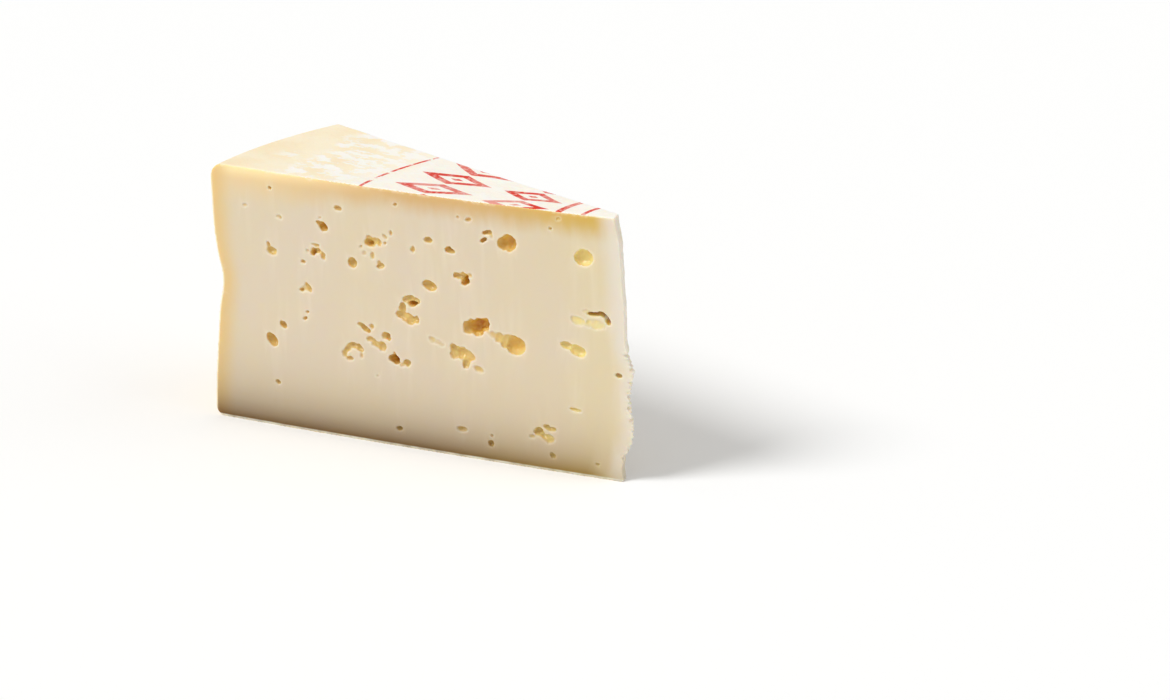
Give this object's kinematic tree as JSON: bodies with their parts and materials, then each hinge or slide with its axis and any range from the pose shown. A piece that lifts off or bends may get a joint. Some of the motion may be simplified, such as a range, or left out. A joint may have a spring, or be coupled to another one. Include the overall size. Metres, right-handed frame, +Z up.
{
  "type": "branzi cheese wedge",
  "caption": "Wedge of semi-hard mountain cheese: a solid slice of a low wheel with a hollowed heel, open eyes in both cuts and a torn thin nose. It stands on its base rind.",
  "frame": {"origin": "centre of the wedge's own bounding box, at the base rind it stands on", "axes": "+Z up from base rind to top rind; +X from the heel towards the thin nose; +Y towards the back cut"},
  "size_m": [0.1549, 0.0622, 0.088],
  "materials": {
    "cheese": "ivory paste, satin and slightly moist where cut, with golden eyes, and a dry cream rind with worn red printed bands"
  },
  "bodies": {
    "root": {"cheese_wedge": "cheese"}
  },
  "joints": []
}
